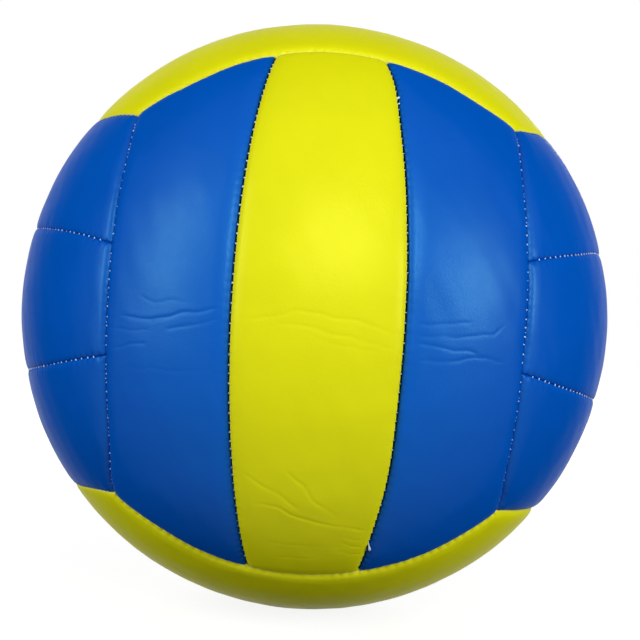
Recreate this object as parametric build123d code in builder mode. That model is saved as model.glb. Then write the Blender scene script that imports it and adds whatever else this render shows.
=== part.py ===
from build123d import *

import os
from math import acos, asin, atan, atan2, ceil, cos, hypot, pi, sin, sqrt, tan

# A sewn indoor volleyball: six faces of three padded strips each, round a bladder with a needle valve.
# Millimetres, +Z up, origin at the ball's centre. The photographed face looks along -Y, the valve along +Y.

# Ball and cover, as measured over the outside of the blown-up ball
ball_diameter = 210.0
strip_length_share = 0.919  # of the diameter: along the middle strip of a face, from seam to seam
middle_strip_width_share = 0.243  # of the diameter: half way along the middle strip
middle_strip_end_width_share = 0.169  # of the diameter: where the middle strip meets the next face
seam_gap = 0.3  # between the sewn edges of two strips
roll_width = 3.2  # the edge that the stitches draw in
roll_drop = 1.4  # how far that edge lies below the crown
crown_rise = 0.35  # how far a strip's middle stands above its shoulders
edge_thickness = 1.0  # cover at the sewn edge, where the padding is thinned out
crown_bands = 5  # straight bands across a strip's crown
hollow_sides = 24  # flats round the hollow that the bladder presses on
rest_flat_depth = 0.5  # where the ball's own weight flattens it on the floor

# Bladder, welded from gores that run from the valve to the opposite pole
bladder_gores = 12
bladder_wall = 0.7
bladder_clearance = 0.2  # between the bladder's fullest part and the cover

# Valve: a rubber housing bonded to the bladder, and a plug that seals round the needle
valve_recess = 0.6  # its mouth below the crown
valve_neck_radius = 4.0
valve_hole_clearance = 0.3  # round the neck in the cover
valve_flange_radius = 12.0
valve_stem_radius = 4.5
valve_stem_depth = 7.0  # inside the bladder
valve_tip_radius = 3.4  # the lips at the stem's end
valve_tip_length = 1.6
valve_floor = 2.0  # rubber left below the plug
plug_radius = 2.6
needle_radius = 1.2
needle_depth = 9.0  # straight wall that guides the needle
funnel_radius = 1.8
funnel_depth = 0.8
fit_clearance = 0.05  # glue line between valve, bladder and cover
cut_overrun = 5.0  # cutters past the faces they cut

ball_radius = ball_diameter / 2

# Angles at the ball's centre: an arc's share of the diameter is half its angle in radians.
# Every seam lies in a plane, known by the latitude at which it crosses the middle of the face and by its
# tilt, which lets the strips narrow towards their ends.
# Three faces meet at each diagonal of the cube, which settles the tilt of the seams between faces.
diagonal_share = 1 / sqrt(3)
half_length_angle = strip_length_share
face_latitude = pi / 2 - half_length_angle
face_tilt = atan((cos(half_length_angle) - diagonal_share) / (sin(half_length_angle) - diagonal_share))

# The seams beside the middle strip pass through its width at the middle and its width at the ends.
strip_latitude = middle_strip_width_share
end_slice_share = sqrt(1 - middle_strip_end_width_share**2)
end_angle = acos(sin(face_latitude - face_tilt) / end_slice_share) - face_tilt
end_height_share = end_slice_share * cos(end_angle)
strip_tilt = atan(
    (sin(strip_latitude) - middle_strip_end_width_share) / (cos(strip_latitude) - end_height_share)
)

# The four long seams of a face, in order across it
long_seams = [
    (-face_latitude, -face_tilt),
    (-strip_latitude, -strip_tilt),
    (strip_latitude, strip_tilt),
    (face_latitude, face_tilt),
]

# The latitudes that each strip covers anywhere along its length
end_latitude = asin(middle_strip_end_width_share)
strip_covers = [
    (-face_latitude, -end_latitude),
    (-strip_latitude, strip_latitude),
    (end_latitude, face_latitude),
]

# Each face: the way it looks, the way its strips run, the way they are counted, and their names
faces = {
    "front": ((0, -1, 0), (0, 0, 1), (1, 0, 0), ("left", "middle", "right")),
    "back": ((0, 1, 0), (0, 0, 1), (1, 0, 0), ("left", "middle", "right")),
    "left": ((-1, 0, 0), (0, 1, 0), (0, 0, 1), ("lower", "middle", "upper")),
    "right": ((1, 0, 0), (0, 1, 0), (0, 0, 1), ("lower", "middle", "upper")),
    "top": ((0, 0, 1), (1, 0, 0), (0, 1, 0), ("front", "middle", "back")),
    "bottom": ((0, 0, -1), (1, 0, 0), (0, 1, 0), ("front", "middle", "back")),
}

edge_radius = ball_radius - roll_drop
inner_radius = edge_radius - edge_thickness
body_share = 0.68  # of a strip's half length, as far as its body runs before the ends fall away
tail_bends = 2  # straight stretches from the body's end to the shoulder


def slice_offset(latitude, tilt):
    """How far the slice at this latitude and tilt passes from the ball's centre."""
    return ball_radius * sin(latitude - tilt)


def slice_plane(face, tilt, offset):
    """A slice along a strip: local x runs along the strip and local y out of the ball."""
    outward, along, across = (Vector(*way) for way in faces[face][:3])
    rise = outward * cos(tilt) + across * sin(tilt)
    normal = across * cos(tilt) - outward * sin(tilt)
    return Plane(origin=normal * offset, x_dir=along, z_dir=along.cross(rise))


def end_seam(tilt, offset, radius):
    """Where a strip's end seam crosses a slice: its height at the middle, and its point at a radius."""
    seam_offset = slice_offset(face_latitude, face_tilt) + seam_gap / 2
    height = seam_offset / (cos(face_tilt) * cos(tilt)) + offset * tan(tilt)
    slope = tan(face_tilt) / cos(tilt)
    reach = sqrt(radius**2 - offset**2)
    root = sqrt(reach**2 * (1 + slope**2) - height**2)
    x = (root - slope * height) / (1 + slope**2)
    return height, (x, height + slope * x)


def body_end(tilt, offset, reach):
    """Where a slice's outline crosses the plane that ends the body of every strip of its face."""
    slope = tan(body_share * half_length_angle)
    squares = 1 + (slope * cos(tilt)) ** 2
    shift = slope**2 * offset * sin(tilt) * cos(tilt)
    rest = (slope * offset * sin(tilt)) ** 2 - reach**2
    y = (shift + sqrt(shift**2 - squares * rest)) / squares
    return slope * (y * cos(tilt) - offset * sin(tilt)), y


def strip_slice(face, tilt, offset, radius):
    """The strip's outline in one slice: its crown, the edges drawn in at both ends and the end seams."""
    reach = sqrt(radius**2 - offset**2)
    body_x, body_y = body_end(tilt, offset, reach)
    body_angle = atan2(body_x, body_y)
    fallen_x, fallen_y = end_seam(tilt, offset, radius - crown_rise)[1]
    fall = reach - hypot(fallen_x, fallen_y)
    shoulder_angle = atan2(fallen_x, fallen_y) - roll_width / ball_radius
    height, end_point = end_seam(tilt, offset, edge_radius - crown_rise)
    side = [(body_x, body_y)]
    for bend in range(1, tail_bends + 1):
        share = bend / tail_bends
        angle = body_angle + (shoulder_angle - body_angle) * share
        bend_reach = reach - fall * share**2
        side.append((bend_reach * sin(angle), bend_reach * cos(angle)))
    side.append(end_point)
    other_side = [(-x, y) for x, y in reversed(side)]
    with BuildSketch(slice_plane(face, tilt, offset)) as outline:
        with BuildLine():
            ThreePointArc((-body_x, body_y), (0, reach), (body_x, body_y))
            Polyline(*side, (0, height), *other_side)
        make_face()
    return outline.sketch


def strip_slices(face, first_seam, last_seam):
    """Slices from seam to seam: a drawn-in edge, the bands of the crown and the other drawn-in edge."""
    (first_latitude, first_tilt), (last_latitude, last_tilt) = first_seam, last_seam
    half_width = ball_radius * (last_latitude - first_latitude) / 2
    crown_share = 1 - roll_width / half_width
    slices = [strip_slice(face, first_tilt, slice_offset(*first_seam) + seam_gap / 2, edge_radius)]
    for band in range(crown_bands + 1):
        place_share = 2 * band / crown_bands - 1
        across_share = (1 + crown_share * place_share) / 2
        latitude = first_latitude + (last_latitude - first_latitude) * across_share
        tilt = first_tilt + (last_tilt - first_tilt) * across_share
        radius = ball_radius - crown_rise * place_share**2
        slices.append(strip_slice(face, tilt, slice_offset(latitude, tilt), radius))
    slices.append(strip_slice(face, last_tilt, slice_offset(*last_seam) - seam_gap / 2, edge_radius))
    return slices


def strip_hollow(face, low, high):
    """The space behind a strip: a block cut back to flats that are straight across the strip."""
    outward, along, across = (Vector(*way) for way in faces[face][:3])
    middle = (low + high) / 2
    depth = inner_radius * cos((high - low) / 2) * cos(pi / hollow_sides)
    step = 2 * pi / hollow_sides
    flats = ceil(half_length_angle / step)
    with BuildPart() as hollow:
        Box(ball_diameter, ball_diameter, ball_diameter)
        for flat in range(-flats, flats + 1):
            level = outward * cos(flat * step) + along * sin(flat * step)
            normal = level * cos(middle) + across * sin(middle)
            split(bisect_by=Plane(origin=normal * depth, z_dir=normal), keep=Keep.BOTTOM)
    return hollow.part


def gore_ball(radius):
    """The space inside a ring of flat-cut gores: half cylinders that cross at both poles on the Y axis."""
    cylinders = bladder_gores // 2
    with BuildPart() as gores:
        for index in range(cylinders):
            turn = pi * index / cylinders
            mode = Mode.INTERSECT if index else Mode.ADD
            with Locations(Plane(origin=(0, 0, 0), x_dir=(0, 1, 0), z_dir=(cos(turn), 0, sin(turn)))):
                Cylinder(radius, ball_diameter, mode=mode)
    return gores.part


def finish(part, name):
    """Name a finished piece and write it."""
    part.label = name
    export_step(part, f"parts/{name}.step")


# The cover is straight across behind each strip, so its least inside radius is behind the widest one
widest_cover = max(high - low for low, high in strip_covers)
cover_inside = inner_radius * cos(widest_cover / 2) * cos(pi / hollow_sides)
bladder_radius = (cover_inside - bladder_clearance) * cos(pi / bladder_gores)

# Heights of the valve along +Y
valve_mouth = ball_radius - valve_recess
flange_bottom = bladder_radius + fit_clearance
flange_top = sqrt(cover_inside**2 - valve_flange_radius**2) - fit_clearance
stem_bottom = bladder_radius - valve_stem_depth
plug_bottom = stem_bottom + valve_floor
needle_bottom = valve_mouth - funnel_depth - needle_depth
plug_bore_radius = plug_radius + fit_clearance

os.makedirs("parts", exist_ok=True)

# Cover: eighteen strips
for face, (_, _, _, strip_names) in faces.items():
    for place, strip in enumerate(strip_names):
        outer_slices = strip_slices(face, long_seams[place], long_seams[place + 1])
        hollow = strip_hollow(face, *strip_covers[place])
        with BuildPart() as panel:
            loft(outer_slices, ruled=True)
            add(hollow, mode=Mode.SUBTRACT)
            if (face, strip) == ("back", "middle"):
                # the hole for the valve's neck
                with Locations(Plane(origin=(0, ball_radius, 0), z_dir=(0, 1, 0))):
                    Cylinder(
                        valve_neck_radius + valve_hole_clearance,
                        ball_radius - cover_inside + 2 * cut_overrun,
                        mode=Mode.SUBTRACT,
                    )
            if (face, strip) == ("bottom", "middle"):
                # the flat that the ball rests on
                split(bisect_by=Plane.XY.offset(rest_flat_depth - ball_radius), keep=Keep.TOP)
        finish(panel.part, f"{face}_{strip}_panel")

# Bladder: a thin wall of gores with a hole for the valve's stem
gores_outside = gore_ball(bladder_radius)
gores_inside = gore_ball(bladder_radius - bladder_wall)
with BuildPart() as bladder:
    add(gores_outside)
    add(gores_inside, mode=Mode.SUBTRACT)
    with Locations(Plane(origin=(0, bladder_radius, 0), z_dir=(0, 1, 0))):
        Cylinder(valve_stem_radius + fit_clearance, 2 * cut_overrun, mode=Mode.SUBTRACT)
finish(bladder.part, "bladder")

# Valve housing: stem with sealing lips, flange between bladder and cover, neck through the cover
with BuildPart() as valve_housing:
    with BuildSketch(Plane.XY):
        with BuildLine():
            Polyline(
                (0, stem_bottom),
                (valve_tip_radius, stem_bottom),
                (valve_tip_radius, stem_bottom + valve_tip_length),
                (valve_stem_radius, stem_bottom + valve_tip_length),
                (valve_stem_radius, flange_bottom),
                (valve_flange_radius, flange_bottom),
                (valve_flange_radius, flange_top),
                (valve_neck_radius, flange_top),
                (valve_neck_radius, valve_mouth),
                (plug_bore_radius, valve_mouth),
                (plug_bore_radius, plug_bottom),
                (0, plug_bottom),
                close=True,
            )
        make_face()
    revolve(axis=Axis.Y)
finish(valve_housing.part, "valve_housing")

# Valve plug: a funnel that finds the needle and a blind hole that guides it
with BuildPart() as valve_plug:
    with BuildSketch(Plane.XY):
        with BuildLine():
            Polyline(
                (0, plug_bottom + fit_clearance),
                (plug_radius, plug_bottom + fit_clearance),
                (plug_radius, valve_mouth),
                (funnel_radius, valve_mouth),
                (needle_radius, valve_mouth - funnel_depth),
                (needle_radius, needle_bottom),
                (0, needle_bottom),
                close=True,
            )
        make_face()
    revolve(axis=Axis.Y)
finish(valve_plug.part, "valve_plug")
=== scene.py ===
"""A blue and yellow sewn volleyball: eighteen padded strips, their stitches, the bladder and the valve."""

from math import acos, atan, cos, pi, radians, sin, sqrt, tan

import bmesh
import bpy
import numpy as np
from mathutils import Matrix, Vector


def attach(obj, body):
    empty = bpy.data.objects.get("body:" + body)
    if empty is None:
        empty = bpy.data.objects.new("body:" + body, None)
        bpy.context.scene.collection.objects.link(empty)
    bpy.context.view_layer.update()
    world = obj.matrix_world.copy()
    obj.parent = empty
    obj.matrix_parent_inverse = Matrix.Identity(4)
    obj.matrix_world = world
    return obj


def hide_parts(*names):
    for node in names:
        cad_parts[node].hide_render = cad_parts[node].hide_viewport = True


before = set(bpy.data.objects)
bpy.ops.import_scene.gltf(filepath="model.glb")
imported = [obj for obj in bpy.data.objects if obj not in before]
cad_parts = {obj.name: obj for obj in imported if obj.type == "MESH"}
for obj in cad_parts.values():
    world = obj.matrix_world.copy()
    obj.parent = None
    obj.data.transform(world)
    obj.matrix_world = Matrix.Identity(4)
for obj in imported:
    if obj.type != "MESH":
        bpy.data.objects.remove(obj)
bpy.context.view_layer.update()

mm = 0.001
chance = np.random.default_rng(18)

# Ball and strips: the radius and the shares are the part's own, the soft edges follow the photograph
ball_radius = 105 * mm
strip_length_share = 0.919
middle_strip_width_share = 0.243
middle_strip_end_width_share = 0.169
roll_width = 2.2 * mm
shoulder_width = 5.5 * mm
corner_radius = 0.7 * mm
crown_rise = 0.25 * mm
crown_reach = 24 * mm
edge_thickness = 1.1 * mm
rest_flat_depth = 0.5 * mm
rest_height = rest_flat_depth - ball_radius
fine_grid, plain_grid = (140, 640), (90, 400)
edge_crowding = 0.86 * pi / 2
merge_distance = 1e-6

# Give of the leather along the seams: depths, and the reach over which each fades from the edge
slack_size, slack_seed = 16 * mm, 5
shoulder_slack, roll_slack = 0.15, 0.12
shoulder_blend = 4
outer_pucker, inner_pucker, end_pucker = 1.3, 0.6, 0.45
pucker_depth, pucker_reach = 0.12 * mm, 1.6 * mm
edge_pull, edge_pull_reach = 0.5 * mm, 1.5 * mm
ripple_depth, ripple_length, ripple_reach = 0.05 * mm, 1.35 * mm, 4 * mm
ripple_drift = 3
roll_blend = 2 * mm
roll_overrun = 0.25

# Lumps in the padding: depth, size and seed
padding_lumps = ((0.10 * mm, 19 * mm, 7), (0.05 * mm, 7 * mm, 8))

# Valve and bladder
valve_hole = 4.3 * mm
valve_dip, valve_dip_reach = 0.6 * mm, 2.2 * mm
bladder_radius = 96.5 * mm
bladder_gores = 12
gore_ridge = 0.006
stem_reach = 1 * mm

# Thread: the size of a stitch and the spread of each measure
stitch_pitch = 2.95 * mm
stitch_length, stitch_length_spread = 0.30 * mm, 0.18 * mm
stitch_width, stitch_width_spread = 0.18 * mm, 0.07 * mm
stitch_height = 0.22 * mm
stitch_lift, stitch_lift_spread = 0.26 * mm, 0.22 * mm
stitch_wander = 0.6 * mm
stitch_skew = 1.3
bold_thread, plain_thread = 1.4, 1.1
thread_radius = 0.2 * mm
seam_end_margin = 3 * mm
corner_clearance = 1.8 * mm
skipped_share = 0.35

# How deep the stitches hide: in a face's four long seams, towards the seams' lower ends, and in some kinds
# of seam
seam_hiding = (-0.12 * mm, -0.02 * mm, 0.20 * mm, -0.14 * mm)
lower_hiding = (0, 0.1 * mm, 0.2 * mm, 0.2 * mm)
one_colour_hiding = -0.03 * mm
side_seam_hiding = 0.4 * mm
halfway_hiding = 0.04 * mm
hiding_wave, hiding_turns, hiding_shift = 0.06 * mm, 9, 2.3

# Seams: the latitude at which each crosses the middle of its face, and its tilt
half_length_angle = strip_length_share
face_latitude = pi / 2 - half_length_angle
face_tilt = atan((cos(half_length_angle) - 1 / sqrt(3)) / (sin(half_length_angle) - 1 / sqrt(3)))
strip_latitude = middle_strip_width_share
end_slice = sqrt(1 - middle_strip_end_width_share**2)
end_angle = acos(sin(face_latitude - face_tilt) / end_slice) - face_tilt
strip_rise = sin(strip_latitude) - middle_strip_end_width_share
strip_tilt = atan(strip_rise / (cos(strip_latitude) - end_slice * cos(end_angle)))
long_seams = [
    (-face_latitude, -face_tilt),
    (-strip_latitude, -strip_tilt),
    (strip_latitude, strip_tilt),
    (face_latitude, face_tilt),
]

# How the seams lie: the gap between two edges, the drop of the soft shoulder, and the drop of the
# turned-in edge
upright_seam = (0.18 * mm, 0.65 * mm, 1.1 * mm)
side_seam = (0.18 * mm, 0.65 * mm, 1.1 * mm)
rim_seam = (0.34 * mm, 0.65 * mm, 1.1 * mm)
two_colour_seam = (0.62 * mm, 0.85 * mm, 1.1 * mm)
one_colour_seam = (0.06 * mm, 0.15 * mm, 0.65 * mm)

# The side seams' least share of their depth, and where towards the lower right it starts to grow
least_side_depth = 0.4
side_depth_start, side_depth_span = 0.3, 0.8

# Each face: the way it looks, the way its strips run, the way they are counted, their names and colours
across_names = ("left", "middle", "right")
upward_names = ("lower", "middle", "upper")
inward_names = ("front", "middle", "back")
striped, all_blue, all_yellow = ("blue", "yellow", "blue"), ("blue",) * 3, ("yellow",) * 3
faces = {
    "front": ((0, -1, 0), (0, 0, 1), (1, 0, 0), across_names, striped),
    "back": ((0, 1, 0), (0, 0, 1), (1, 0, 0), across_names, striped),
    "left": ((-1, 0, 0), (0, 1, 0), (0, 0, 1), upward_names, all_blue),
    "right": ((1, 0, 0), (0, 1, 0), (0, 0, 1), upward_names, all_blue),
    "top": ((0, 0, 1), (1, 0, 0), (0, 1, 0), inward_names, all_yellow),
    "bottom": ((0, 0, -1), (1, 0, 0), (0, 1, 0), inward_names, all_yellow),
}

# The seams along a face's strips and at their ends; each lies between two faces, so both name the same kind
face_seams = {
    "front": (upright_seam, rim_seam),
    "back": (upright_seam, rim_seam),
    "left": (side_seam, upright_seam),
    "right": (side_seam, upright_seam),
    "top": (rim_seam, side_seam),
    "bottom": (rim_seam, side_seam),
}

# Camera, fitted to the photograph with the seams sunk as they are here; the ball leans a little right
eye_distance = 4.08 * ball_radius
picture_pixels = 640
focal_pixels = 1159.0
ball_pixel = (314.5, 316.7)
lean, nod, turn = radians(3.18), radians(-1.41), radians(0.59)
seen_from = Matrix.Rotation(lean, 3, "Y") @ Matrix.Rotation(nod, 3, "X") @ Matrix.Rotation(turn, 3, "Z")
to_ball = seen_from.transposed()
eye = to_ball @ Vector((0, -eye_distance, 0))


def seen_point(x, y):
    """The point of the ball that a pixel of the photograph shows."""
    way = to_ball @ Vector(((x - ball_pixel[0]) / focal_pixels, 1, (ball_pixel[1] - y) / focal_pixels))
    way.normalize()
    half = -eye.dot(way)
    inside = half**2 - eye.length_squared + ball_radius**2
    return eye + way * (half - sqrt(max(inside, 0)))


# Where the sewing pulled the seams aside, as the photograph shows: from this pixel, to that one, and the
# reach of the pull
pulled_seams = [
    ((513, 138), (514.5, 133.8), 10 * mm),
    ((549, 146), (548, 140.5), 20 * mm),
    ((600, 259), (598, 253), 30 * mm),
    ((560, 260.5), (560, 257.5), 20 * mm),
    ((522.5, 380), (522, 374.5), 18 * mm),
    ((572, 395), (572, 392.5), 25 * mm),
    ((85, 364), (85, 362), 30 * mm),
    ((119, 488.5), (115, 491.5), 12 * mm),
    ((494, 509.5), (497, 510), 9 * mm),
    ((141, 115), (138.5, 116), 9 * mm),
    ((200, 76), (200, 80), 14 * mm),
    ((200, 548), (200, 549.5), 18 * mm),
    ((391.5, 80), (394, 80), 14 * mm),
    ((385, 480), (387.3, 480), 18 * mm),
    ((112, 240), (111, 243), 12 * mm),
]

# Creases that the folded ball kept, as the photograph shows them: depth in millimetres, then pixels
creases = {
    "front_left_panel": [
        (0.35, [(119, 316), (151, 320), (168, 316), (196, 311), (222, 307)]),
        (0.19, [(164, 330), (182, 327), (220, 319)]),
        (0.16, [(112, 350), (130, 346), (147, 343)]),
        (0.10, [(112, 330), (134, 331), (150, 330)]),
        (0.10, [(138, 295), (148, 300), (154, 303), (168, 301), (190, 303)]),
        (0.07, [(113, 371), (150, 369), (178, 372), (232, 369)]),
    ],
    "front_middle_panel": [
        (0.14, [(234, 322), (267, 316), (298, 311), (326, 316), (361, 322), (401, 336)]),
        (0.13, [(276, 323), (312, 328), (347, 337), (401, 351)]),
        (0.07, [(300, 331), (340, 345), (380, 352)]),
        (0.20, [(241, 472), (258, 484), (280, 496), (301, 511)]),
        (0.24, [(284, 470), (304, 487), (312, 500), (336, 518)]),
        (0.24, [(253, 503), (279, 508), (290, 515), (319, 524), (368, 531)]),
        (0.08, [(262, 541), (300, 546), (350, 548)]),
        (0.07, [(270, 556), (310, 559), (346, 556)]),
        (0.10, [(343, 537), (355, 541), (367, 541)]),
        (0.11, [(340, 543), (352, 547), (365, 549)]),
        (0.10, [(337, 551), (350, 555), (363, 555)]),
    ],
    "front_right_panel": [
        (0.17, [(417, 324), (438, 325), (473, 324)]),
        (0.16, [(417, 336), (466, 338), (495, 336), (507, 326)]),
        (0.24, [(415, 343), (443, 349), (473, 353), (481, 356)]),
        (0.20, [(416, 362), (461, 362), (476, 358), (506, 368)]),
    ],
}
crease_width = 0.42 * mm
crease_lip, crease_lip_width = 0.22, 4 * crease_width
crease_wander, crease_wander_size, crease_wander_seed = 0.4 * mm, 5 * mm, 11
crease_fade = 8


def soft_noise(points, size, seed):
    """A smooth random wave over the ball, from about -1 to 1, with lumps of about this size."""
    ways = np.random.default_rng(seed)
    waves, crowding = 8, 2.2
    total = np.zeros(len(points))
    for _ in range(waves):
        way = ways.normal(size=3)
        total += np.sin(points @ way * (crowding / size) + ways.uniform(0, 2 * pi))
    return total * 2 / waves


def face_ways(face):
    """The ways out of a face, along its strips and across them."""
    return [np.array(way, float) for way in faces[face][:3]]


def seam_kinds(face):
    """How the four long seams of a face lie, in the order in which its strips are counted."""
    inner = two_colour_seam if len(set(faces[face][4])) > 1 else one_colour_seam
    outer = face_seams[face][0]
    return [outer, inner, inner, outer]


def side_depth(points):
    """How deep the seams between the sides and the top or bottom lie: in full only at the lower right."""
    low_right = (points[:, 0] - points[:, 2]) / ball_radius
    growth = np.clip((low_right - side_depth_start) / side_depth_span, 0, 1)
    return least_side_depth + (1 - least_side_depth) * growth


def pulled_aside(points):
    """The points of the cover, moved over the ball to where the sewing pulled them."""
    moved = points.copy()
    for start, end, reach in pulled_seams:
        centre = np.array(seen_point(*start))
        near = np.exp(-np.sum((points - centre) ** 2, axis=1) / reach**2)
        moved += np.outer(near, np.array(seen_point(*end)) - centre)
    return moved * (np.linalg.norm(points, axis=1) / np.linalg.norm(moved, axis=1))[:, None]


def angle_to_end(offset, tilt, gap):
    """How far a strip runs in one of its planes, as an angle from its middle to the seam at its end."""
    reach = np.sqrt(ball_radius**2 - offset**2)
    end_offset = ball_radius * sin(face_latitude - face_tilt) + gap / 2
    height = end_offset / (cos(face_tilt) * np.cos(tilt)) + offset * np.tan(tilt)
    slope = tan(face_tilt) / np.cos(tilt)
    end_x = (np.sqrt(reach**2 * (1 + slope**2) - height**2) - slope * height) / (1 + slope**2)
    return np.arctan2(end_x, height + slope * end_x)


def strip_surface(face, place, name, u, v):
    """Where the points u across and v along a strip lie, and how far each is from the nearest seam."""
    outward, along, across = face_ways(face)
    first_kind, last_kind = seam_kinds(face)[place : place + 2]
    (first_latitude, first_tilt), (last_latitude, last_tilt) = long_seams[place], long_seams[place + 1]
    share = (1 + u) / 2
    latitude = first_latitude + (last_latitude - first_latitude) * share
    tilt = first_tilt + (last_tilt - first_tilt) * share
    offset = ball_radius * np.sin(latitude - tilt) - u * np.where(u < 0, first_kind[0], last_kind[0]) / 2
    reach = np.sqrt(ball_radius**2 - offset**2)
    angle = v * angle_to_end(offset, tilt, face_seams[face][1][0])
    rise = np.outer(np.cos(tilt), outward) + np.outer(np.sin(tilt), across)
    normal = np.outer(np.cos(tilt), across) - np.outer(np.sin(tilt), outward)
    points = normal * offset[:, None] + np.outer(reach * np.sin(angle), along)
    points += rise * (reach * np.cos(angle))[:, None]

    sunk, nearest = sewn_depth(points, strip_edges(face, place))
    for depth, pixels in creases.get(name, []):
        sunk += crease_depth(points, pixels) * depth * mm
    if name == "back_middle_panel":
        hole = np.hypot(points[:, 0], points[:, 2])
        sunk += valve_dip * np.clip(1 - (hole - valve_hole) / valve_dip_reach, 0, 1) ** 2
    points = pulled_aside(points * (1 - sunk / ball_radius)[:, None])
    if name == "bottom_middle_panel":
        points[:, 2] = np.maximum(points[:, 2], rest_height)
    return points, nearest


def strip_edges(face, place):
    """A strip's four seams: axis, latitude about it, ways along and up from its middle, kind and pucker."""
    outward, along, across = face_ways(face)
    kinds = seam_kinds(face)
    edges = []
    for seam, side in ((place, 1), (place + 1, -1)):
        latitude, tilt = long_seams[seam]
        axis = (across * cos(tilt) - outward * sin(tilt)) * side
        up = outward * cos(tilt) + across * sin(tilt)
        pucker = outer_pucker if seam in (0, 3) else inner_pucker
        edges.append((axis, (latitude - tilt) * side, along, up, kinds[seam], pucker))
    for side in (1, -1):
        axis = outward * cos(face_tilt) - along * sin(face_tilt) * side
        up = outward * sin(face_tilt) + along * cos(face_tilt) * side
        edges.append((axis, face_latitude - face_tilt, across, up, face_seams[face][1], end_pucker))
    return edges


def sewn_depth(points, edges):
    """How deep the points of a strip sink towards its seams, and how far each is from the nearest one."""
    sunk, shoulders, rolls, shares = np.zeros((4, len(points)))
    gaps, pulls = [], []
    slack = soft_noise(points, slack_size, slack_seed)
    for axis, edge_latitude, run, up, kind, pucker in edges:
        shoulder_drop, roll_drop = kind[1:]
        depth = side_depth(points) if kind is side_seam else 1
        gap = ball_radius * (np.arcsin(points @ axis / ball_radius) - edge_latitude)
        run_length = np.arctan2(points @ run, points @ up) * ball_radius * cos(edge_latitude)
        pulled = pucker * ((1 + np.cos(2 * pi * run_length / stitch_pitch)) / 2) ** 2
        sunk += crown_rise * np.clip(1 - gap / crown_reach, 0, 1) ** 2
        shoulder = np.clip(1 - gap / (shoulder_width * (1 + shoulder_slack * slack)), 0, 1) ** 2
        shoulders += (shoulder_drop * depth * shoulder) ** shoulder_blend
        sunk += pucker_depth * pulled * np.exp(-gap / pucker_reach)
        ripple = np.sin(run_length / ripple_length + ripple_drift * slack) * slack
        sunk += ripple_depth * ripple * np.exp(-gap / ripple_reach)
        close = np.exp(-np.maximum(gap, 0) / roll_blend)
        rolls += close * roll_drop * depth
        shares += close
        gaps.append(gap)
        pulls.append(gap - edge_pull * pulled * np.exp(-gap / edge_pull_reach))
    sunk += shoulders ** (1 / shoulder_blend)
    turned = np.clip(1 - rounded_edge(pulls) / (roll_width * (1 + roll_slack * slack)), 0, None)
    rounded = 1 - np.sqrt(1 - np.clip(turned, 0, 1) ** 2)
    sunk += rolls / shares * (rounded + np.clip(turned - 1, 0, roll_overrun))
    for lump_depth, size, seed in padding_lumps:
        sunk += lump_depth * soft_noise(points, size, seed)
    return sunk, rounded_edge(gaps)


def rounded_edge(gaps):
    """The distance to a strip's edge, with its four corners cut round."""
    side, end = np.minimum(gaps[0], gaps[1]), np.minimum(gaps[2], gaps[3])
    round_off = corner_radius - np.hypot(corner_radius - side, corner_radius - end)
    in_corner = (side < corner_radius) & (end < corner_radius)
    return np.where(in_corner, round_off, np.minimum(side, end))


def crease_depth(points, pixels):
    """How deep, from 0 to 1, the points lie in a crease through some pixels of the photograph."""
    line = np.array([seen_point(*pixel) for pixel in pixels])
    steps = np.linalg.norm(np.diff(line, axis=0), axis=1)
    length, start = steps.sum(), 0.0
    best, where = np.full(len(points), 1.0), np.zeros(len(points))
    wander = soft_noise(points, crease_wander_size, crease_wander_seed) * crease_wander
    wandered = points + np.outer(wander, (0, 0, 1))
    for a, b, step in zip(line, line[1:], steps):
        share = np.clip((wandered - a) @ (b - a) / step**2, 0, 1)
        away = np.linalg.norm(wandered - a - np.outer(share, b - a), axis=1)
        nearer = away < best
        best[nearer] = away[nearer]
        where[nearer] = (start + share[nearer] * step) / length
        start += step
    fade = np.clip(np.minimum(where, 1 - where) * crease_fade, 0, 1)
    lip = crease_lip * np.exp(-((best / crease_lip_width) ** 2))
    return fade * (np.exp(-best / crease_width) - lip)


def object_from(bm, name, material, smooth=True):
    """A finished mesh piece in the scene, with its place in its mesh."""
    mesh = bpy.data.meshes.new(name)
    bm.to_mesh(mesh)
    bm.free()
    mesh.polygons.foreach_set("use_smooth", [smooth] * len(mesh.polygons))
    mesh.materials.append(material)
    piece = bpy.data.objects.new(name, mesh)
    bpy.context.scene.collection.objects.link(piece)
    return piece


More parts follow.
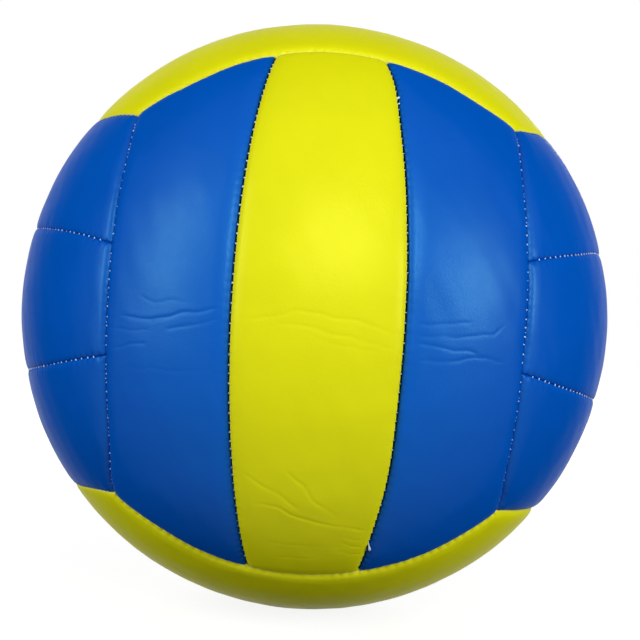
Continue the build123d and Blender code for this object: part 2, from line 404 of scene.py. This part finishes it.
def sewn_strip(face, place, material, fine):
    """One strip: a grid laid between its seams, its edges turned in, its back closed straight across."""
    name = f"{face}_{faces[face][3][place]}_panel"
    across_steps, along_steps = fine_grid if fine else plain_grid
    bm = bmesh.new()
    bmesh.ops.create_grid(bm, x_segments=across_steps, y_segments=along_steps, size=1)
    flat = np.array([vert.co[:2] for vert in bm.verts])
    u, v = (np.sin(flat * edge_crowding) / sin(edge_crowding)).T
    points, nearest = strip_surface(face, place, name, u, v)
    near_layer = bm.verts.layers.float.new("seam_distance")
    sides = {-1: set(), 1: set()}
    for vert, point, gap, x in zip(bm.verts, points, nearest, flat[:, 0]):
        vert.co = point
        vert[near_layer] = gap
        if abs(x) > 0.999:
            sides[round(x)].add(vert)
    rim = [edge for edge in bm.edges if edge.is_boundary]
    turned = bmesh.ops.extrude_edge_only(bm, edges=rim)["geom"]
    low = [part for part in turned if isinstance(part, bmesh.types.BMVert)]
    low_sides = {-1: set(), 1: set()}
    for vert in low:
        above = {other for edge in vert.link_edges for other in edge.verts}
        for side in sides:
            if above & sides[side]:
                low_sides[side].add(vert)
        vert.co *= 1 - edge_thickness / vert.co.length
        vert[near_layer] = 0
    low_edges = [part for part in turned if isinstance(part, bmesh.types.BMEdge)]
    rails = [edge for edge in low_edges for side in low_sides.values() if set(edge.verts) <= side]
    back = bmesh.ops.bridge_loops(bm, edges=rails)["faces"]
    bmesh.ops.holes_fill(bm, edges=[edge for edge in bm.edges if edge.is_boundary], sides=0)
    bmesh.ops.recalc_face_normals(bm, faces=bm.faces)
    if name == "back_middle_panel":
        open_valve_hole(bm, back)
    panel = object_from(bm, name.replace("_panel", "_strip"), material)
    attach(panel, "root")
    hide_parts(name)


def open_valve_hole(bm, back):
    """Cut a hole for the valve, round in the skin and square in the back, with a wall between the two."""
    at_hole = [f for f in bm.faces if f.calc_center_median().y > 0 and in_hole(f)]
    bmesh.ops.delete(bm, geom=at_hole, context="FACES")
    for vert in {vert for edge in bm.edges if edge.is_boundary for vert in edge.verts}:
        away = Vector((vert.co.x, 0, vert.co.z)).normalized() * valve_hole
        vert.co = Vector((away.x, vert.co.y, away.z))
    rows = [f for f in back if abs(f.calc_center_median().z) < valve_hole]
    for side in (-1, 1):
        parts = rows + [part for f in rows for part in (*f.edges, *f.verts)]
        cut = bmesh.ops.bisect_plane(
            bm,
            geom=list(dict.fromkeys(parts)),
            dist=merge_distance,
            plane_co=(side * valve_hole, 0, 0),
            plane_no=(1, 0, 0),
        )
        rows = [part for part in cut["geom"] if isinstance(part, bmesh.types.BMFace)]
    under_hole = [f for f in rows if abs(f.calc_center_median().x) < valve_hole]
    bmesh.ops.delete(bm, geom=under_hole, context="FACES")
    bmesh.ops.bridge_loops(bm, edges=[edge for edge in bm.edges if edge.is_boundary])
    bmesh.ops.recalc_face_normals(bm, faces=bm.faces)


def in_hole(face):
    """Whether a face reaches into the valve's hole."""
    return any(vert.co.x**2 + vert.co.z**2 < valve_hole**2 for vert in face.verts)


def stitches_in(bm, face, seam):
    """The thread that shows in one long seam: small bars across it, deeper in some places."""
    outward, along, across = (Vector(way) for way in faces[face][:3])
    latitude, tilt = long_seams[seam]
    offset = ball_radius * sin(latitude - tilt)
    reach = sqrt(ball_radius**2 - offset**2)
    rise = outward * cos(tilt) + across * sin(tilt)
    normal = across * cos(tilt) - outward * sin(tilt)
    last = angle_to_end(offset, tilt, 0) - seam_end_margin / reach
    between_faces = seam in (0, 3)
    step = stitch_pitch / 2 if between_faces else stitch_pitch
    count = int(last * reach / step)
    kind = seam_kinds(face)[seam]
    shoulder_drop, roll_drop = kind[1:]
    bold = bold_thread if kind is two_colour_seam and seam == 1 else plain_thread
    deeper = one_colour_hiding if kind is one_colour_seam else seam_hiding[seam]
    deeper += side_seam_hiding if kind is side_seam else 0
    for index in range(-count, count + 1):
        angle = index * step / reach
        halfway = between_faces and index % 2 == 1
        hidden = hiding_wave * (1 + sin(hiding_turns * angle + hiding_shift * seam)) + deeper
        hidden += lower_hiding[seam] * max(0, -angle / last) + (halfway_hiding if halfway else 0)
        draws = chance.uniform(size=6)
        off_corner = abs(abs(reach * sin(angle)) - middle_strip_end_width_share * ball_radius)
        if between_faces and (off_corner < corner_clearance or (halfway and draws[0] < skipped_share)):
            continue
        up = (normal * offset + (along * sin(angle) + rise * cos(angle)) * reach).normalized()
        run = along * cos(angle) - rise * sin(angle)
        place = Matrix((up.cross(run), run, up)).transposed().to_4x4()
        depth = side_depth(np.array([up * ball_radius]))[0] if kind is side_seam else 1
        seam_floor = crown_rise + (shoulder_drop + roll_drop) * depth
        spot = up * (ball_radius - seam_floor + stitch_lift - stitch_lift_spread * draws[1] - hidden)
        spot += run * (draws[2] - 0.5) * stitch_wander
        place.translation = Vector(pulled_aside(np.array([spot]))[0])
        skew = Matrix.Rotation((draws[3] - 0.5) * stitch_skew, 4, "Z")
        length = (stitch_length + stitch_length_spread * draws[4]) * bold
        width = (stitch_width + stitch_width_spread * draws[5]) * bold
        size = Matrix.Diagonal((length, width, stitch_height, 1))
        bmesh.ops.create_uvsphere(bm, u_segments=6, v_segments=5, radius=1, matrix=place @ skew @ size)


def seam_stitches(material):
    """All the thread that shows in the seams."""
    whole = bmesh.new()
    for face in faces:
        for seam in range(len(long_seams)):
            bm = bmesh.new()
            stitches_in(bm, face, seam)
            bmesh.ops.recalc_face_normals(bm, faces=bm.faces)
            mesh = bpy.data.meshes.new("seam")
            bm.to_mesh(mesh)
            bm.free()
            whole.from_mesh(mesh)
            bpy.data.meshes.remove(mesh)
    stitches = object_from(whole, "seam_stitches", material)
    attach(stitches, "root")


def thread_end(name, strands, material):
    """Loose ends of thread out of a seam: tubes through a few pixels, with the lift and width at each."""
    curve = bpy.data.curves.new(name, "CURVE")
    curve.dimensions = "3D"
    curve.bevel_depth = thread_radius
    curve.bevel_resolution = 2
    curve.use_fill_caps = True
    for pixels, lifts, widths in strands:
        spline = curve.splines.new("NURBS")
        spline.points.add(len(pixels) - 1)
        for point, pixel, lift, width in zip(spline.points, pixels, lifts, widths):
            spot = seen_point(*pixel)
            point.co = (*(spot * (1 + lift * mm / ball_radius)), 1)
            point.radius = width
        spline.order_u = 3
        spline.use_endpoint_u = True
        spline.resolution_u = 6
    shaped = bpy.data.objects.new(name, curve)
    mesh = bpy.data.meshes.new_from_object(shaped)
    bpy.data.objects.remove(shaped)
    mesh.materials.clear()
    mesh.materials.append(material)
    mesh.polygons.foreach_set("use_smooth", [True] * len(mesh.polygons))
    piece = bpy.data.objects.new(name, mesh)
    bpy.context.scene.collection.objects.link(piece)
    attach(piece, "root")


def spun(name, profile, material, node):
    """A round rubber piece about the valve's axis, spun from its profile of radius and height."""
    bm = bmesh.new()
    verts = [bm.verts.new((radius * mm, height * mm, 0)) for radius, height in profile]
    edges = [bm.edges.new(pair) for pair in zip(verts, verts[1:])]
    bmesh.ops.spin(
        bm, geom=verts + edges, cent=(0, 0, 0), axis=(0, 1, 0), angle=2 * pi, steps=48, use_merge=True
    )
    bmesh.ops.remove_doubles(bm, verts=bm.verts, dist=merge_distance)
    bmesh.ops.recalc_face_normals(bm, faces=bm.faces)
    piece = object_from(bm, name, material)
    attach(piece, "root")
    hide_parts(node)


def bladder_skin(material):
    """The blown-up bladder inside the cover, with the low ridges where its gores are welded."""
    bm = bmesh.new()
    to_valve = Matrix.Rotation(-pi / 2, 4, "X")
    bmesh.ops.create_uvsphere(bm, u_segments=72, v_segments=36, radius=bladder_radius, matrix=to_valve)
    for vert in bm.verts:
        off_ridge = abs(sin(bladder_gores / 2 * np.arctan2(vert.co.x, vert.co.z)))
        vert.co *= 1 + gore_ridge * (1 - off_ridge)
    at_stem = [v for v in bm.verts if v.co.y > 0 and Vector((v.co.x, v.co.z)).length < stem_reach]
    bmesh.ops.delete(bm, geom=at_stem, context="VERTS")
    bmesh.ops.recalc_face_normals(bm, faces=bm.faces)
    skin = object_from(bm, "bladder_skin", material)
    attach(skin, "root")
    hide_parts("bladder")


def node_group(name, inputs, outputs):
    """An empty shader node group with named sockets, and its two ends."""
    group = bpy.data.node_groups.new(name, "ShaderNodeTree")
    for label, value in inputs.items():
        socket = group.interface.new_socket(label, in_out="INPUT", socket_type="NodeSocketFloat")
        socket.default_value = value
    for label in outputs:
        group.interface.new_socket(label, in_out="OUTPUT", socket_type="NodeSocketFloat")
    return group, group.nodes.new("NodeGroupInput"), group.nodes.new("NodeGroupOutput")


def add_node(tree, kind, values=None, **links):
    """A node with its settings and input values; links name an input and the socket that feeds it."""
    node = tree.nodes.new(kind)
    for label, value in (values or {}).items():
        if isinstance(label, str) and label not in node.inputs:
            setattr(node, label, value)
        else:
            node.inputs[label].default_value = value
    for label, source in links.items():
        tree.links.new(source, node.inputs[label.replace("_", " ")])
    return node


# Leather: how dull it is and by how much that varies, its darker mottling, and its shine, from face-on at 0
# to side-on at 1
leather_roughness, gloss_spread = 0.36, 0.12
mottle_shade = 0.95
shine_levels = (
    (0, 0.5),
    (0.15, 0.46),
    (0.3, 0.14),
    (0.42, 0.01),
    (0.5, 0),
    (0.64, 0),
    (0.8, 0.006),
    (1, 0.022),
)


def leather_group():
    """Fine pebbled grain, slow mottling and a duller bloom, for any colour of cover leather."""
    group, given, made = node_group(
        "leather_grain", {"Pebbles": 1.0, "Mottle": 1.0}, ("Height", "Shade", "Gloss")
    )
    where = add_node(group, "ShaderNodeTexCoord").outputs["Object"]
    round_cells = {"feature": "SMOOTH_F1", "Scale": 1500.0, "Smoothness": 0.6}
    pebbles = add_node(group, "ShaderNodeTexVoronoi", round_cells, Vector=where)
    pores = add_node(group, "ShaderNodeTexNoise", {"Scale": 3600.0, "Detail": 2.0}, Vector=where)
    lumps = add_node(group, "ShaderNodeTexNoise", {"Scale": 420.0, "Detail": 3.0}, Vector=where)
    broad = {"Scale": 34.0, "Detail": 3.0, "Roughness": 0.6}
    slow = add_node(group, "ShaderNodeTexNoise", broad, Vector=where)
    grain = add_node(group, "ShaderNodeMath", {"operation": "MULTIPLY_ADD", 1: -0.7})
    group.links.new(pebbles.outputs["Distance"], grain.inputs[0])
    group.links.new(pores.outputs["Fac"], grain.inputs[2])
    uneven = add_node(group, "ShaderNodeMath", {"operation": "MULTIPLY_ADD", 1: 0.35})
    group.links.new(lumps.outputs["Fac"], uneven.inputs[0])
    group.links.new(grain.outputs[0], uneven.inputs[2])
    height = add_node(group, "ShaderNodeMath", {"operation": "MULTIPLY"})
    group.links.new(uneven.outputs[0], height.inputs[0])
    group.links.new(given.outputs["Pebbles"], height.inputs[1])
    group.links.new(height.outputs[0], made.inputs["Height"])
    shade = add_node(
        group, "ShaderNodeMapRange", {"From Min": 0.3, "From Max": 0.7, "To Min": -0.5, "To Max": 0.5}
    )
    group.links.new(slow.outputs["Fac"], shade.inputs["Value"])
    mottled = add_node(group, "ShaderNodeMath", {"operation": "MULTIPLY"})
    group.links.new(shade.outputs[0], mottled.inputs[0])
    group.links.new(given.outputs["Mottle"], mottled.inputs[1])
    group.links.new(mottled.outputs[0], made.inputs["Shade"])
    gloss = add_node(group, "ShaderNodeMath", {"operation": "MULTIPLY_ADD", 1: gloss_spread, 2: 0.0})
    group.links.new(lumps.outputs["Fac"], gloss.inputs[0])
    group.links.new(gloss.outputs[0], made.inputs["Gloss"])
    return group


def new_material(name):
    """A material with nothing but its shader and its output."""
    material = bpy.data.materials.new(name)
    material.use_nodes = True
    tree = material.node_tree
    return material, tree, tree.nodes["Principled BSDF"]


def leather(name, group, colour, edge, glint):
    """Satin synthetic leather: grained, mottled, and with the edge colour painted where it turns into a
    seam: painted shade where that colour is darker, painted light where it is paler.
    """
    material, tree, shader = new_material(name)
    grain = add_node(tree, "ShaderNodeGroup")
    grain.node_tree = group
    grain.inputs["Pebbles"].default_value = 1.0
    grain.inputs["Mottle"].default_value = 1.0
    tint = add_node(
        tree, "ShaderNodeMapRange", {"From Min": -0.5, "From Max": 0.5, "To Min": 0.0, "To Max": 1.0}
    )
    tree.links.new(grain.outputs["Shade"], tint.inputs["Value"])
    body = add_node(tree, "ShaderNodeMix", {"data_type": "RGBA"})
    body.inputs[6].default_value = (*[c * mottle_shade for c in colour], 1)
    body.inputs[7].default_value = (*colour, 1)
    tree.links.new(tint.outputs[0], body.inputs[0])
    # painted colour in the seams, by distance to the seam: on the blue a darker painted shade, on the
    # yellow a paler fringe that is partly the cut edge's colour and partly painted light lifting the seam's
    # shade
    seam = add_node(tree, "ShaderNodeAttribute", {"attribute_name": "seam_distance"})
    near_seam = {"From Min": 0.05 * mm, "From Max": 0.7 * mm, "To Min": 1.0, "To Max": 0.0}
    turned = add_node(tree, "ShaderNodeMapRange", near_seam)
    tree.links.new(seam.outputs["Fac"], turned.inputs["Value"])
    painted_seam_tone = add_node(tree, "ShaderNodeMix", {"data_type": "RGBA"})
    painted_seam_tone.inputs[7].default_value = (*edge, 1)
    tree.links.new(turned.outputs[0], painted_seam_tone.inputs[0])
    tree.links.new(body.outputs[2], painted_seam_tone.inputs[6])
    tree.links.new(painted_seam_tone.outputs[2], shader.inputs["Base Color"])
    rough = add_node(tree, "ShaderNodeMath", {"operation": "ADD", 1: leather_roughness - gloss_spread / 2})
    tree.links.new(grain.outputs["Gloss"], rough.inputs[0])
    tree.links.new(rough.outputs[0], shader.inputs["Roughness"])
    bump = add_node(tree, "ShaderNodeBump", {"Strength": 0.35, "Distance": 0.09 * mm})
    tree.links.new(grain.outputs["Height"], bump.inputs["Height"])
    tree.links.new(bump.outputs["Normal"], shader.inputs["Normal"])
    # the fine grain scatters most of the shine that a smooth skin would have side-on
    side_on = add_node(tree, "ShaderNodeLayerWeight", {"Blend": 0.5})
    shine = add_node(tree, "ShaderNodeValToRGB")
    shine.color_ramp.interpolation = "B_SPLINE"
    stops = shine.color_ramp.elements
    for facing, _ in shine_levels[1:-1]:
        stops.new(facing)
    for stop, (_, level) in zip(stops, shine_levels):
        stop.color = (level, level, level, 1)
    tree.links.new(side_on.outputs["Facing"], shine.inputs["Fac"])
    tree.links.new(shine.outputs["Color"], shader.inputs["Specular IOR Level"])
    shader.inputs["Specular Tint"].default_value = (*glint, 1)
    return material


def thread_material():
    """White twisted polyester sewing thread."""
    material, tree, shader = new_material("white_thread")
    where = add_node(tree, "ShaderNodeTexCoord").outputs["Object"]
    twist = add_node(tree, "ShaderNodeTexNoise", {"Scale": 5200.0, "Detail": 2.0}, Vector=where)
    tone = add_node(tree, "ShaderNodeMix", {"data_type": "RGBA"})
    tone.inputs[6].default_value = (0.56, 0.70, 0.86, 1)
    tone.inputs[7].default_value = (0.78, 0.88, 0.98, 1)
    tree.links.new(twist.outputs["Fac"], tone.inputs[0])
    tree.links.new(tone.outputs[2], shader.inputs["Base Color"])
    bump = add_node(tree, "ShaderNodeBump", {"Strength": 0.4, "Distance": 0.05 * mm})
    tree.links.new(twist.outputs["Fac"], bump.inputs["Height"])
    tree.links.new(bump.outputs["Normal"], shader.inputs["Normal"])
    shader.inputs["Roughness"].default_value = 0.6
    return material


def rubber(name, colour, roughness, scale):
    """Matt moulded rubber with a faint powdery unevenness."""
    material, tree, shader = new_material(name)
    where = add_node(tree, "ShaderNodeTexCoord").outputs["Object"]
    powder = add_node(tree, "ShaderNodeTexNoise", {"Scale": scale, "Detail": 4.0}, Vector=where)
    tone = add_node(tree, "ShaderNodeMix", {"data_type": "RGBA"})
    tone.inputs[6].default_value = (*[c * 0.75 for c in colour], 1)
    tone.inputs[7].default_value = (*[c * 1.25 for c in colour], 1)
    tree.links.new(powder.outputs["Fac"], tone.inputs[0])
    tree.links.new(tone.outputs[2], shader.inputs["Base Color"])
    bump = add_node(tree, "ShaderNodeBump", {"Strength": 0.25, "Distance": 0.1 * mm})
    tree.links.new(powder.outputs["Fac"], bump.inputs["Height"])
    tree.links.new(bump.outputs["Normal"], shader.inputs["Normal"])
    shader.inputs["Roughness"].default_value = roughness
    return material


def floor_material():
    """Pale matt floor that looks white to the eye and in reflections, and keeps the ball's shadow."""
    material, tree, shader = new_material("pale_floor")
    shader.inputs["Base Color"].default_value = (0.20, 0.20, 0.20, 1)
    shader.inputs["Roughness"].default_value = 0.9
    shader.inputs["Specular IOR Level"].default_value = 0.1
    shader.inputs["Emission Color"].default_value = (1, 1, 1, 1)
    where = add_node(tree, "ShaderNodeTexCoord").outputs["Object"]
    away = add_node(tree, "ShaderNodeVectorMath", {"operation": "LENGTH"})
    tree.links.new(where, away.inputs[0])
    lift = add_node(
        tree, "ShaderNodeMapRange", {"From Min": 0.15, "From Max": 0.60, "To Min": 0.88, "To Max": 1.0}
    )
    tree.links.new(away.outputs["Value"], lift.inputs["Value"])
    shown = add_node(tree, "ShaderNodeMath", {"operation": "MULTIPLY"})
    tree.links.new(plainly_seen(tree), shown.inputs[0])
    tree.links.new(lift.outputs[0], shown.inputs[1])
    tree.links.new(shown.outputs[0], shader.inputs["Emission Strength"])
    return material


def plainly_seen(tree):
    """1 where the camera sees a surface, straight or in a reflection or through glass, and else 0."""
    path = add_node(tree, "ShaderNodeLightPath")
    seen = path.outputs["Is Camera Ray"]
    for kind in ("Is Glossy Ray", "Is Transmission Ray"):
        either = add_node(tree, "ShaderNodeMath", {"operation": "MAXIMUM"})
        tree.links.new(seen, either.inputs[0])
        tree.links.new(path.outputs[kind], either.inputs[1])
        seen = either.outputs[0]
    return seen


def softbox(name, azimuth, elevation, distance, size, watts):
    """A lamp of this width and height, facing the ball; azimuth 0 is behind the camera, 90 to its right."""
    lamp = bpy.data.lights.new(name, "AREA")
    lamp.shape = "RECTANGLE"
    lamp.size, lamp.size_y = size
    lamp.energy = watts
    holder = bpy.data.objects.new(name, lamp)
    a, e = radians(azimuth), radians(elevation)
    way = Vector((sin(a) * cos(e), -cos(a) * cos(e), sin(e)))
    holder.location = way * distance
    holder.rotation_euler = way.to_track_quat("Z", "Y").to_euler()
    bpy.context.scene.collection.objects.link(holder)


# Materials
grain = leather_group()
covers = {
    "blue": leather(
        "blue_leather",
        grain,
        colour=(0.0005, 0.096, 0.530),
        # edge: the colour painted into the seams, a darker painted shade of the blue
        edge=(0.0005, 0.082, 0.46),
        glint=(0.25, 0.9, 1),
    ),
    "yellow": leather(
        "yellow_leather",
        grain,
        colour=(0.82, 0.82, 0.006),
        # edge: a paler fringe painted into the seams, partly the cut edge's colour and partly painted light
        # over the seam's shade
        edge=(0.86, 0.86, 0.14),
        glint=(1, 1, 0.15),
    ),
}
white_thread = thread_material()
valve_rubber = rubber("valve_rubber", (0.02, 0.02, 0.022), 0.55, 900.0)
bladder_rubber = rubber("bladder_rubber", (0.015, 0.015, 0.016), 0.4, 300.0)

# Cover, seams and bladder
for face in faces:
    for place, colour in enumerate(faces[face][4]):
        sewn_strip(face, place, covers[colour], fine=face == "front")
seam_stitches(white_thread)
thread_end(
    "loose_thread_tuft",
    [
        ([(398.0, 95.0), (399.3, 95.2), (400.6, 95.4)], (-1.6, -0.9, -0.8), (1.4, 2.3, 1.4)),
        ([(399.0, 100.6), (400.0, 100.8), (400.8, 101.0)], (-1.7, -1.0, -0.9), (1, 1.3, 0.8)),
    ],
    white_thread,
)
knot_pixels = [(369.2, 545.5), (369.6, 549.0), (370.0, 551.6), (370.0, 553.0)]
thread_end("thread_knot", [(knot_pixels, (-1.6, -0.9, -0.7, -1.0), (0.6, 1.2, 2.5, 1.3))], white_thread)
bladder_skin(bladder_rubber)

# Valve, as radius and height along its axis in millimetres
neck_profile = [(0, 88.6), (3.4, 88.6), (3.4, 90.2), (4.5, 90.2), (4.5, 95.7), (12, 95.7), (12, 98.0)]
neck_profile += [(4.0, 98.4), (4.0, 103.9), (3.9, 104.25), (3.6, 104.4), (2.9, 104.4), (2.7, 104.2)]
neck_profile += [(2.65, 103.8), (2.65, 90.6), (0, 90.6)]
core_profile = [(0, 90.7), (2.6, 90.7), (2.6, 104.1), (2.45, 104.3), (2.0, 104.35), (1.75, 104.25)]
core_profile += [(1.2, 103.5), (1.2, 94.6), (0, 94.6)]
spun("valve_neck", neck_profile, valve_rubber, "valve_housing")
spun("valve_core", core_profile, valve_rubber, "valve_plug")

# Studio: a wide pale floor and a white world that lights the ball only faintly
floor_reach = 12
bm = bmesh.new()
under_ball = Matrix.Translation((0, 0, rest_height))
bmesh.ops.create_grid(bm, x_segments=1, y_segments=1, size=floor_reach, matrix=under_ball)
floor = object_from(bm, "floor", floor_material(), smooth=False)

world = bpy.data.worlds.new("studio")
bpy.context.scene.world = world
world.use_nodes = True
sky = world.node_tree
backdrop = sky.nodes["Background"]
backdrop.inputs["Color"].default_value = (1, 1, 1, 1)
unseen_and_seen = {"From Min": 0.0, "From Max": 1.0, "To Min": 0.05, "To Max": 1.0}
level = add_node(sky, "ShaderNodeMapRange", unseen_and_seen)
sky.links.new(plainly_seen(sky), level.inputs["Value"])
sky.links.new(level.outputs[0], backdrop.inputs["Strength"])

# Lamps: azimuth, elevation, distance, width and height, watts
softbox("front_lamp", 8, 25, 1.3, (0.6, 0.6), 7.3)
softbox("left_lamp", -57, 17, 1.2, (0.3, 0.9), 6.6)
softbox("right_lamp", 58, 12, 1.2, (0.4, 0.5), 6.2)
softbox("back_lamp", 176, 7, 1.3, (0.8, 0.6), 7.5)

# Camera
lens = bpy.data.cameras.new("camera")
lens.sensor_width = 36
lens.lens = focal_pixels / picture_pixels * lens.sensor_width
lens.shift_x = (picture_pixels / 2 - ball_pixel[0]) / picture_pixels
lens.shift_y = (ball_pixel[1] - picture_pixels / 2) / picture_pixels
lens.clip_start = 0.01
camera = bpy.data.objects.new("camera", lens)
right, ahead, upward = (to_ball @ Vector(way) for way in ((1, 0, 0), (0, 1, 0), (0, 0, 1)))
stand = Matrix((right, upward, -ahead)).transposed().to_4x4()
stand.translation = eye
camera.matrix_world = stand
bpy.context.scene.collection.objects.link(camera)
bpy.context.scene.camera = camera
bpy.context.scene.view_settings.view_transform = "Standard"
